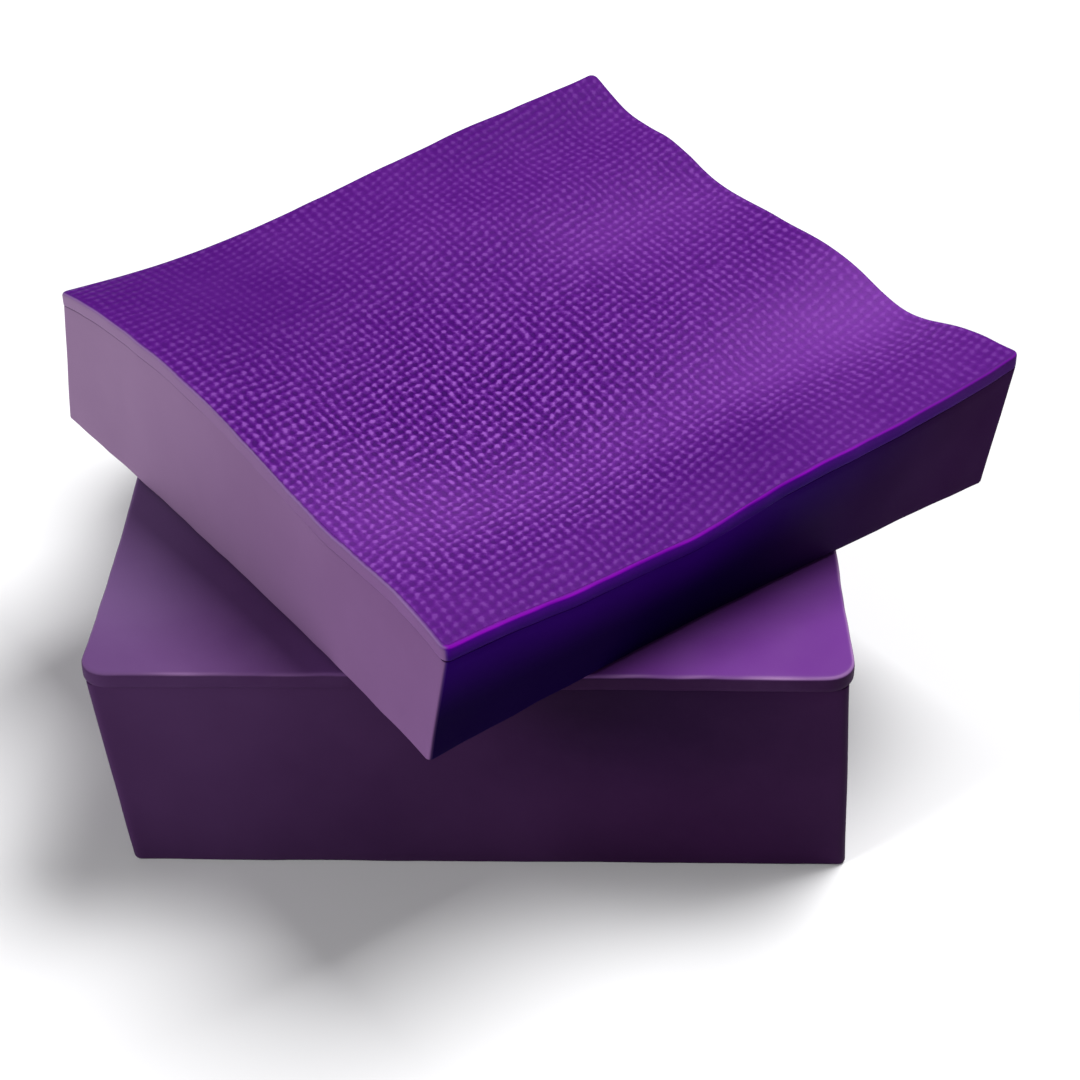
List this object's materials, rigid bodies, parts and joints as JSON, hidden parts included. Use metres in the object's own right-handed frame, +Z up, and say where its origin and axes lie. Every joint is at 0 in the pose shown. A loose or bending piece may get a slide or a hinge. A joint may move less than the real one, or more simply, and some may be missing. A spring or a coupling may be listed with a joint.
{
  "type": "silicone soap mould",
  "caption": "Stack of square silicone soap moulds, each a tapered tray closed by a lift-off lid; the upper one is turned on the lower, its thin wavy lid has a pebbled top.",
  "frame": {"origin": "centre of the lower tray's underside, on the surface that the stack stands on", "axes": "+Z up through the stack, +Y towards the back of the lower mould, +X to its right"},
  "size_m": [0.1358, 0.1347, 0.0595],
  "materials": {
    "lower_tray_silicone": "satin",
    "lower_lid_silicone": "satin",
    "upper_tray_silicone": "satin",
    "upper_lid_silicone": "satin, pebbled"
  },
  "bodies": {
    "lower_tray": {"lower_tray": "lower_tray_silicone"},
    "lower_lid": {"lower_lid": "lower_lid_silicone"},
    "upper_tray": {"upper_tray": "upper_tray_silicone"},
    "upper_lid": {"upper_lid": "upper_lid_silicone"}
  },
  "joints": [
    {"name": "lower_lid_lift", "type": "slide", "parent": "lower_tray", "child": "lower_lid", "axis": [0, 0, 1], "range_m": [0, 0.06]},
    {"name": "upper_mould_turn", "type": "hinge", "parent": "lower_lid", "child": "upper_tray", "pos_m": [0.0029, -0.0007, 0.0353], "axis": [0, 0, 1], "continuous": true},
    {"name": "upper_lid_lift", "type": "slide", "parent": "upper_tray", "child": "upper_lid", "axis": [0, 0, 1], "range_m": [0, 0.06]}
  ]
}
